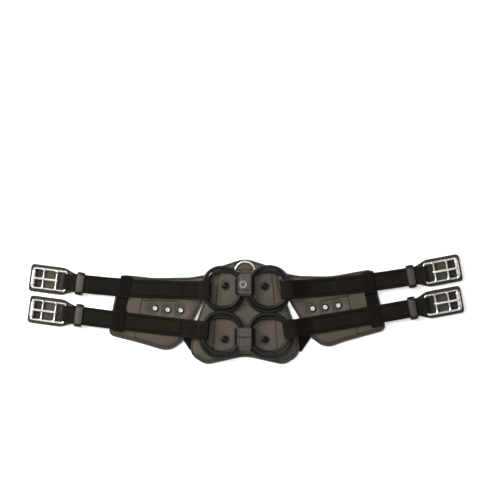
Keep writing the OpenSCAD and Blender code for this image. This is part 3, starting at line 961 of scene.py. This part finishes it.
def strap_line():
    """The strap's side view as (s, z, half thickness), from under the rings, round them and onto the pad."""
    t = PLY / 2
    low = box_mm("ring_left_upper_under")[0][2] - 0.35 - t
    high = box_mm("ring_left_upper_over")[1][2] + 0.2 + t
    points = [(40.0, 8.3, 0.5), (30.0, low, t), (20.0, low, t), (12.0, low, t)]
    mid, r = (low + high) / 2, (high - low) / 2
    points += [(t + 1.6 - 1.6 * s, mid - r * c, t) for c, s in arc(0, 0, 1, 0, 180, 11)[1:-1]]
    return points + [
        (9.0, high, t), (15.0, high - 0.2, t), (20.0, high - 1.8, t), (27.0, high - 5.8, t),
        (34.0, high - 9.4, 1.2), (42.0, 10.1, 1.5), (50.0, 9.2, STRAP_T / 2), (60.0, STRAP_Z, STRAP_T / 2),
    ]


STRAP_LINE = strap_line()


def strap_end():
    """The side view's other half: along the pad and round the buckle's bar."""
    points = [(s, STRAP_Z, STRAP_T / 2) for s in np.arange(66.0, STRAP_L - 22.0, 6.0)]
    points += [(STRAP_L - 17.0, 9.2, 1.55), (STRAP_L - 11.0, 9.9, 1.2)]
    bar_s, turn_r = STRAP_L - FOLD_BACK, WIRE_R + 1.05
    points += [(s, z, 0.75) for s, z in arc(bar_s, STRAP_Z, turn_r, 90, -90, 11)]
    return points + [(bar_s - 4.0, 6.6, 0.8), (bar_s - 8.0, 7.0, 0.7), (bar_s - 13.0, 7.4, 0.5)]


def strap(name):
    arm = arms[name]
    dense = resampled(STRAP_LINE + strap_end(), 1.0, False)
    tangents = path_axes(dense[:, :2])
    path, lefts, ups, sections, run = [], [], [], [], []
    length = 0.0
    for k, (s, z, t) in enumerate(dense):
        if k:
            length += float(np.linalg.norm(dense[k, :2] - dense[k - 1, :2]))
        half = STRAP_W / 2
        if length > 60:
            half += (FOLD_W - STRAP_W) / 2 * np.clip((s - (STRAP_L - 15.0)) / 4.0, 0, 1)
        elif s < 30:
            half -= 0.35
        wave = 0.12 * math.sin(length / 17.0) + 0.1 * math.sin(length / 6.3 + 1)
        section = np.array(strip_section(2 * half + wave, 2 * t, 14, crown=0.14))
        upper = section[:, 1] > 0
        section[upper, 1] -= 0.28 * ridge(np.abs(section[upper, 0]), half - ROW_IN, 0.8)
        forward = arm.tangent(s)
        path.append(arm.spot(s, 0, z))
        lefts.append(np.cross(UP, forward))
        ups.append(tangents[k, 0] * UP - tangents[k, 1] * forward)
        sections.append(section)
        run += [(length, a, 0.0) for a, _ in section]
    run += [run[0], run[-1]]
    node, shape = f"strap_{name}", sweep(path, lefts, ups, sections)
    make_piece(f"{node}_web", shape, WEB_STRAP, f"arm_{name}", node, "strap_web", 55, run=run)


def strap_surface(s):
    """The height of the strap's upper face over its straight stretch."""
    points = sorted((s, z + t) for s, z, t in STRAP_LINE if s >= 9.0 and z > STRAP_Z - 0.05)
    return float(np.interp(s, *zip(*points)))


def strap_stitching(name):
    def row(places, lift):
        return np.array([arms[name].spot(s, v, strap_surface(s) + lift) for s, v in places]), False

    edge_row = STRAP_W / 2 - ROW_IN
    rows = [row([(s, v) for s in np.arange(24.0, STRAP_L - 18.0, 2.0)], 0.02) for v in (-edge_row, edge_row)]
    rows += [row([(s, v) for s in np.arange(26.0, 47.0, 2.0)], 0.1) for v in (-6.6, -2.2, 2.2, 6.6)]
    rows += [row([(s, v) for v in np.arange(-10.0, 10.1, 1.0)], 0.12) for s in (23.5, 47.5)]
    shape = stitch_rows(rows, *STRAP_STITCH)
    make_piece(f"strap_{name}_stitching", shape, THREAD_BLACK, f"arm_{name}", slot="strap_web")


# ---------------------------------------------------------------- guards, chapes and keepers
GUARD_NECK = 45.0
GUARD_HALF = 22.5
GUARD_STITCH = (3.0, 2.0, 0.5)


def to_frame(arm, xy, start):
    """The distance to the buckle's frame, whose rails are followed from start outwards."""
    end = arm.u_roller
    frame_line = np.array([(start, RAIL), (end, RAIL), (end, -RAIL), (start, -RAIL)])
    return distance_to(xy, [(frame_line, False)])


def buckle_guard(name):
    """The leather under a buckle, with the frame's print pressed in it and painted shadow round the frame
    and under its outer cell. Its neck rises to pass under the strap.
    """
    arm, node, body = arms[name], f"buckle_guard_{name}", f"arm_{name}"
    base = box_mm(node)[0][2]
    neck, end = FOLD_W / 2, arm.u_roller
    side = [(end + 6.5, GUARD_HALF, 5.5), (4, GUARD_HALF, 18), (-16, neck + 1, 14), (-GUARD_NECK, neck, 4)]
    outline = rounded_corners(side + [(u, -v, r) for u, v, r in side[::-1]])

    def lift(xy):
        return base + 2.0 * ease(np.clip(-xy[:, 0] / 9.0, 0, 1))

    def top(xy, d):
        z = lift(xy) + 1.2 + 1.25 * round_edge(d, 1.3)
        z -= 0.4 * ridge(d, 3.0, 0.6)
        z += 0.2 * (1 - np.exp(-np.maximum(d - 3.4, 0) / 2.0))
        z -= 0.35 * ridge(to_frame(arm, xy, 4), 0, 2.0)
        return z + 0.1 * ((np.abs(xy[:, 1]) < 13.5) & (xy[:, 0] > 3) & (xy[:, 0] < end - 2))

    def under(xy, d):
        return lift(xy) + 0.95 * (1 - round_edge(d, 1.2))

    verts, faces, d = plate(outline, [], 1.7, (0.3, 0.8, 1.5, 2.3, 3.0, 3.7), top, under)
    u, v = verts[:, 0], np.abs(verts[:, 1])
    # Painted shadow on the guard under the buckle's outer cell, beside the roller.
    outer_cell_shade = np.clip((u - end + 17.0) / 4.0, 0, 1) * np.clip((16.5 - v) / 2.0, 0, 1)
    # Darker edge, and painted shade in the stitch groove.
    edge = ridge(d, 0, 1.3) + 0.45 * ridge(d, 3.0, 0.5) + 0.7 * outer_cell_shade * np.clip((end + 1.5 - u) / 2.0, 0, 1)
    # Painted shadow round the lines of the frame's wires.
    edge = np.clip(edge + 0.75 * ridge(to_frame(arm, verts[:, :2], -2), 0, 2.6), 0, 1)
    shape = arm.above(verts), faces
    make_piece(f"{node}_leather", shape, LEATHER_GUARD, body, node, "leather_face", 50, edge=edge)
    line = offset_inside(outline, 3.0)
    line = line[line[:, 0] > -14]
    start = int(np.argmax(np.linalg.norm(line - np.roll(line, 1, 0), axis=1)))
    line = np.roll(line, -start, 0)
    row = arm.above(np.column_stack([line, top(line, np.full(len(line), 3.0)) + 0.1]))
    stitches = stitch_rows([(row, False)], *GUARD_STITCH)
    make_piece(f"{node}_stitching", stitches, THREAD_DARK, body, slot="leather_dark")


def chape(name):
    """The leather tab under the strap's fold, notched for the tongue."""
    arm = arms[name]
    half, end = 11.5, 12.2
    side = [(end, -3.6, 1), (end, -half, 1.5), (1.5, -half, 1)]
    outline = rounded_corners([*side[::-1], (8.8, 0, 1.2), *[(u, -v, r) for u, v, r in side]], 0.8)
    top = lambda xy, d: 6.0 + 0.8 * round_edge(d, 0.7) - 0.25 * ridge(d, 1.7, 0.5)
    under = lambda xy, d: 5.9 - 0.5 * round_edge(d, 0.7)
    verts, faces, d = plate(outline, [], 1.2, (0.3, 0.7, 1.2, 1.7, 2.2), top, under)
    edge = np.clip(0.9 * ridge(d, 0, 0.8) + 0.7, 0, 1)
    shape = arm.above(verts), faces
    make_piece(f"chape_{name}_leather", shape, LEATHER_GUARD, f"arm_{name}", slot="leather_face", edge=edge)


def keeper(name):
    """A leather loop round the strap, crowned on top and grooved near its rims, with painted shade at its
    curved ends and in its grooves.
    """
    arm, node = arms[name], f"keeper_{name}"
    low, high = box_mm(node)
    u = arm.u_of((low + high) / 2)
    half_y, z0, z1, t, width = 17.7, low[2] + 0.75, high[2] - 0.75, 1.5, 13.0
    corners = [(-half_y, z0, 3.0), (half_y, z0, 3.0), (half_y, z1, 3.2), (-half_y, z1, 3.2)]
    loop = rounded_corners(corners, 0.9)
    loop[:, 1] += 0.5 * np.maximum(0, 1 - (loop[:, 0] / half_y) ** 2) * (loop[:, 1] > (z0 + z1) / 2)
    path = np.column_stack([np.full(len(loop), u), loop[:, 0], loop[:, 1] - arm.bar[2]])
    outward = np.cross(path_axes(path, True), [1.0, 0, 0])
    if (outward * (path - path.mean(0))).sum() < 0:
        outward = -outward
    section = np.array(strip_section(width, t, 14, crown=0.6))
    upper = section[:, 1] > 0
    section[upper, 1] -= 0.3 * ridge(np.abs(section[upper, 0]), width / 2 - 2.2, 0.5)
    sections = np.broadcast_to(section, (len(path), *section.shape)).copy()
    sections[:, :, 0] *= (1 + 0.05 * np.cos(np.pi * np.clip(path[:, 1] / half_y, -1, 1)))[:, None]
    verts, faces = sweep(path, [1.0, 0, 0], outward, sections, True)
    to_rim = np.abs(verts[:, 0] - u) - width / 2
    # Painted shade at the ends where the loop curves round the strap, darker rims, and painted shade in the
    # grooves near the rims.
    edge = np.clip((np.abs(verts[:, 1]) - 12.6) / 1.2, 0, 1)
    edge = np.clip(edge + ridge(to_rim, 0, 1.4) + 0.35 * ridge(to_rim, -2.4, 0.7), 0, 1)
    shape = arm.local(verts), faces
    make_piece(f"{node}_leather", shape, LEATHER_KEEPER, node, node, "leather_face", 60, edge=edge)


# ---------------------------------------------------------------- buckles
def tube(a, b, r0, r1):
    """A straight tube from a to b in a buckle's own plane, between two radii."""
    a, b = np.array([*a, 0.0]), np.array([*b, 0.0])
    side = np.cross((b - a) / np.linalg.norm(b - a), UP)
    shares = np.linspace(0, 1, 9)
    sections = [round_section(r0 + (r1 - r0) * share, 20) for share in shares]
    return sweep(a + np.outer(shares, b - a), side, UP, sections)


def buckle_mesh():
    """The buckle's frame, welded from its wires and smoothed at the joins."""
    arm = arms["right_upper"]
    end = arm.u_roller
    outline = rounded_corners([(0, -RAIL, 2.6), (end, -RAIL, 2.6), (end, RAIL, 2.6), (0, RAIL, 2.6)], 1.0)
    parts = [flat_wire(np.column_stack([outline, np.zeros(len(outline))]), WIRE_R)]
    for x in (arm.u_eye, FRONT_BAR):
        parts.append(tube((x, -RAIL), (x, RAIL), CROSS_BAR_R, CROSS_BAR_R))
        for s in (-1, 1):
            parts.append(tube((x, s * (RAIL - 0.3)), (x, s * (RAIL - 5.2)), 3.0, CROSS_BAR_R * 0.98))
    parts += [tube((end - 0.2, s * (RAIL + 0.2)), (end - 0.2, s * 13.0), 2.35, 2.2) for s in (-1, 1)]
    rough = make_piece("buckle_blank", joined(parts), NICKEL)
    mod = rough.modifiers.new("weld", "REMESH")
    mod.mode = "VOXEL"
    mod.voxel_size = 0.36 * MM
    depsgraph = bpy.context.evaluated_depsgraph_get()
    mesh = bpy.data.meshes.new_from_object(rough.evaluated_get(depsgraph))
    bpy.data.objects.remove(rough)
    bm = bmesh.new()
    bm.from_mesh(mesh)
    every_way = {"use_axis_x": True, "use_axis_y": True, "use_axis_z": True}
    for _ in range(5):
        bmesh.ops.smooth_vert(bm, verts=bm.verts, factor=0.5, **every_way)
    bm.to_mesh(mesh)
    bm.free()
    return mesh


def buckle_frame(name, blank):
    """A copy of the welded frame at an arm's buckle."""
    arm, node = arms[name], f"buckle_frame_{name}"
    turn = np.array([arm.out, arm.across, UP]).T
    mesh = blank.copy()
    mesh.transform(Matrix([[*turn[r], arm.bar[r] * MM] for r in range(3)] + [[0, 0, 0, 1]]))
    mesh.materials.clear()
    mesh.materials.append(NICKEL)
    for p in mesh.polygons:
        p.use_smooth = True
    place_object(f"{node}_nickel", mesh, f"buckle_{name}", node)


def tongue(arm):
    """The tongue: a flattened eye curled round its bar, and a shank that tapers to its tip on the roller."""
    eye, tip, rest = arm.u_eye, arm.u_roller + 1.6, 3.45
    line = arc(eye, 0, CROSS_BAR_R + 1.0, 360, 60, 17) + [
        (eye + 3.4, 2.75), (eye + 9, 2.9), (eye + 16, 3.2), (FRONT_BAR, rest), (44.0, 3.95),
        (tip - 4, rest + 1.1), (tip - 1.2, rest + 1.05), (tip, rest + 0.75),
    ]
    dense = resampled(line, 0.7, False)
    t = path_axes(dense)
    flat = np.zeros(len(dense))
    sections = []
    for k, u in enumerate(dense[:, 0]):
        far = np.clip((u - eye - 4) / (tip - eye - 4), 0, 1) if k > 18 else 0.0
        ends = np.clip((len(dense) - 1 - k) / 3.0, 0.15, 1) ** 0.5 * np.clip((k + 0.4) / 2.0, 0.3, 1)
        wide, thick = (2.05 - 0.35 * far) * ends, (0.85 + 0.25 * far) * ends
        sections.append([(a * wide, b * thick) for a, b in round_section(1.0, 16)])
    path = np.column_stack([dense[:, 0], flat, dense[:, 1]])
    return sweep(path, [0, 1.0, 0], np.column_stack([-t[:, 1], flat, t[:, 0]]), sections)


def roller(arm):
    """A rolled tube on the outer bar, with its seam."""
    u, r, half = arm.u_roller, 3.2, 12.5
    inner = WIRE_R + 0.12
    profile = [(inner, -half + 0.3), (inner + 0.4, -half), (r - 0.5, -half), (r, -half + 0.6)]
    profile += [(r, h) for h in np.linspace(-half + 3, half - 3, 5)]
    profile += [(r, half - 0.6), (r - 0.5, half), (inner + 0.4, half), (inner, half - 0.3)]
    verts, faces = revolve(profile, (u, 0, 0), 48, (0, 1, 0))
    x, z = verts[:, 0] - u, verts[:, 2].copy()
    radius = np.hypot(x, z)
    sink = 0.3 * ridge(np.arctan2(z, x), math.radians(118), 0.07) * (radius > r - 0.8) / radius
    verts[:, 0] -= x * sink
    verts[:, 2] -= z * sink
    return verts, faces


def moving_metal(kind, name, shape, sharp):
    """A tongue or roller at its place on an arm's buckle."""
    node = f"{kind}_{name}"
    verts, faces = shape
    make_piece(f"{node}_nickel", (arms[name].local(verts), faces), NICKEL, node, node, "nickel", sharp)


# ---------------------------------------------------------------- bands, links, D-ring
BAND_HALF = 46.5
BAND_HALF_W = 10.0
BAND_LOW = 8.3
BAND_CORNER = 3.0
BAND_STITCH = (2.6, 1.8, 0.3)


def band_axis(side):
    """The cross band's middle and its direction towards the D-ring side, from the spread of its corners."""
    low, high = box_mm(f"cross_band_{side}")
    co = corners_mm(f"cross_band_{side}")[:, :2]
    axis = np.linalg.svd(co - co.mean(0), full_matrices=False)[2][0]
    return ((low + high) / 2)[:2], axis * math.copysign(1, axis[1])


def cross_band(side):
    """The elastic band over both straps: low between them, high over each, and sewn down at its ends."""
    node, body = f"cross_band_{side}", f"pad_{side}"
    centre, up = band_axis(side)
    right = np.array([up[1], -up[0]])
    top = box_mm(node)[1][2] + 0.1
    vs = np.linspace(-BAND_HALF, BAND_HALF, 140)
    us = np.linspace(-1, 1, 15)
    grid = np.zeros((len(us), len(vs), 3))
    run = np.zeros_like(grid)
    for j, v in enumerate(vs):
        off = abs(v)
        rise = 1 / (1 + math.exp(-(off - 8.9) / 0.5)) * (1 / (1 + math.exp((off - 45.0) / 0.4)))
        z = BAND_LOW + (top - BAND_LOW) * rise
        width = BAND_HALF_W * (1 - 0.10 * ridge(off, 0, 7.0) + 0.012 * math.sin(v / 4.0))
        corner = np.clip(off - BAND_HALF + BAND_CORNER, 0, 2.8)
        width -= BAND_CORNER - math.sqrt(BAND_CORNER**2 - corner**2)
        shift = 1.6 * (v / BAND_HALF) ** 2
        for i, u in enumerate(us):
            x, y = centre + up * v + right * (u * width + shift)
            droop = 0.5 * abs(u) ** 4 * rise
            grid[i, j] = (x, y, z - droop + 0.12 * noise.noise(Vector((u * 2, v / 8, 3.0))))
            run[i, j] = (v, u * width, 0)
    run = np.concatenate([run.reshape(-1, 3)] * 2)
    make_piece(f"{node}_elastic", sheet_grid(grid, 1.3), WEB_ELASTIC, body, node, "elastic", 60, run=run)
    lines = [grid[1:-1, int(np.argmin(np.abs(vs - v)))] + 0.1 * UP for v in (-45.0, -3.2, 3.2, 45.0)]
    stitches = stitch_rows([(line, False) for line in lines], *BAND_STITCH)
    make_piece(f"{node}_stitching", stitches, THREAD_BLACK, body, slot="elastic")


def elastic_link(side, level):
    """A flat ribbed strip of elastic between the centre pad and a side pad."""
    node = f"elastic_link_{side}_{level}"
    low, high = box_mm(node)
    middle = (low[2] + high[2]) / 2
    outline = smoothed(resampled(flat_loops(node, low[2])[0], 1.5), 2)
    ribs = lambda xy, d: 0.18 * np.sin(xy[:, 1] * 2 * math.pi / 4.4) * np.clip(d, 0, 1)
    top = lambda xy, d: middle + 0.55 * round_edge(d, 0.6) + ribs(xy, d)
    under = lambda xy, d: middle - 0.5 * round_edge(d, 0.6) + ribs(xy, d)
    verts, faces, _ = plate(outline, [], 1.3, (0.3, 0.8), top, under)
    run = np.column_stack([verts[:, 1], verts[:, 0], np.zeros(len(verts))])
    link = make_piece(f"{node}_web", (verts, faces), WEB_ELASTIC, None, node, "elastic", run=run)
    stretch(link, node, f"pad_{side}", 1 if side == "right" else -1, 0.25, 0.7, low[2])


def d_ring():
    low, high = box_mm("d_ring")
    _, y, z = joint_place("d_ring_lift")
    r = (high[2] - low[2]) / 2
    span = (high[0] - low[0]) / 2 - r
    path = arc(0, y, span, 0, 180, 49) + [(x, y) for x in np.linspace(-span + 1.5, span - 1.5, 24)]
    path = smoothed(resampled([(*p, z) for p in path], 1.2), 2)
    make_piece("d_ring_nickel", flat_wire(path, r), NICKEL, "d_ring", "d_ring", "nickel")


def d_ring_tab():
    """A strip of leather sewn to the pad and curled round the D-ring's bar."""
    low, high = box_mm("d_ring_tab")
    _, y, z = joint_place("d_ring_lift")
    r, thick = 2.35, 1.1
    line = [(y - 9.5, 7.5), (y - 5, 8.2), (y - 2.0, z + r - 0.2)] + arc(y, z, r, 90, -152, 12)
    dense = resampled(line, 0.6, False)
    t = path_axes(dense)
    flat = np.zeros(len(dense))
    section = strip_section(high[0] - low[0], thick, 12)
    tab = sweep(np.column_stack([flat, dense]), [1.0, 0, 0], np.column_stack([flat, left_of(t)]), section)
    node, edge = "d_ring_tab", np.zeros(len(tab[0]))
    make_piece(f"{node}_leather", tab, LEATHER_LOOP, "centre", node, "leather_dark", 60, edge=edge)


# ---------------------------------------------------------------- stage, in metres
PHOTO_SPAN = 0.820
CAMERA_HEIGHT = 4.0
OBJECT_BELOW_CENTRE = 0.0968
OBJECT_LEFT_OF_CENTRE = 0.0082
FLOOR_HALF = 6.0
FLOOR_Z = -0.0004
SENSOR = 36.0
# Name, place, size, watts, and whether it shows in reflections
LIGHTS = [
    ("overhead", (-0.4, 0.3, 5.5), 1.2, 150.0, False),
    ("card", (0.0, 0.4, 5.0), 4.0, 48.0, True),
    ("key", (-1.25, 0.7, 1.35), 0.9, 51.0, True),
    ("fill", (1.1, 0.5, 1.5), 1.0, 1.5, True),
    ("front", (0.0, -1.4, 1.3), 0.9, 5.0, True),
]


def pale_floor():
    s = Shader("floor_pale", 0.9)
    pale = s.done(s.ramp(s.noise(3.0, 2.0), [(0.0, (0.93, 0.93, 0.93)), (1.0, (0.95, 0.95, 0.95))]))
    mesh = bpy.data.meshes.new("floor")
    corners = ((-1, -1), (1, -1), (1, 1), (-1, 1))
    mesh.from_pydata([(x * FLOOR_HALF, y * FLOOR_HALF, FLOOR_Z) for x, y in corners], [], [(0, 1, 2, 3)])
    mesh.materials.append(pale)
    add_object("floor", mesh)


def studio():
    world = bpy.data.worlds.new("studio")
    world.use_nodes = True
    world.node_tree.nodes["Background"].inputs["Color"].default_value = (1.0, 1.0, 1.0, 1.0)
    world.node_tree.nodes["Background"].inputs["Strength"].default_value = 0.13
    bpy.context.scene.world = world
    bpy.context.scene.view_settings.view_transform = "Standard"
    for name, place, size, power, shines in LIGHTS:
        data = bpy.data.lights.new(name, "AREA")
        data.shape = "SQUARE"
        data.size = size
        data.energy = power
        light = add_object(name, data)
        light.location = place
        light.visible_camera = False
        light.visible_glossy = shines
        light.rotation_euler = (-Vector(place)).to_track_quat("-Z", "Y").to_euler()


def photo_camera():
    """Straight above, with the photo's width across the floor."""
    data = bpy.data.cameras.new("camera")
    data.sensor_width = SENSOR
    data.lens = SENSOR * CAMERA_HEIGHT / PHOTO_SPAN
    camera = add_object("camera", data)
    camera.location = (OBJECT_LEFT_OF_CENTRE, OBJECT_BELOW_CENTRE, CAMERA_HEIGHT)
    bpy.context.scene.camera = camera


# ---------------------------------------------------------------- assembly
pale_floor()
studio()
photo_camera()
centre_pad()
side_pad("left", 4.0)
side_pad("right", 9.0)
press_studs()
for arm_name in ARMS:
    rubber_ring(arm_name, "over")
    rubber_ring(arm_name, "under")
centre_loop("ring_loop_upper", 4.5, 8.0, (0.30,))
centre_loop("ring_loop_lower", 5.7, 4.9, (0.51, 0.90))
loop_disc()
d_ring()
d_ring_tab()
for arm_name in ARMS:
    strap(arm_name)
    strap_stitching(arm_name)
    buckle_guard(arm_name)
    chape(arm_name)
    keeper(arm_name)
blank_buckle = buckle_mesh()
for arm_name in ARMS:
    buckle_frame(arm_name, blank_buckle)
    moving_metal("tongue", arm_name, tongue(arms[arm_name]), 60)
    moving_metal("roller", arm_name, roller(arms[arm_name]), 50)
for side_name in SIDES:
    cross_band(side_name)
    for link_level in ("upper", "lower"):
        elastic_link(side_name, link_level)
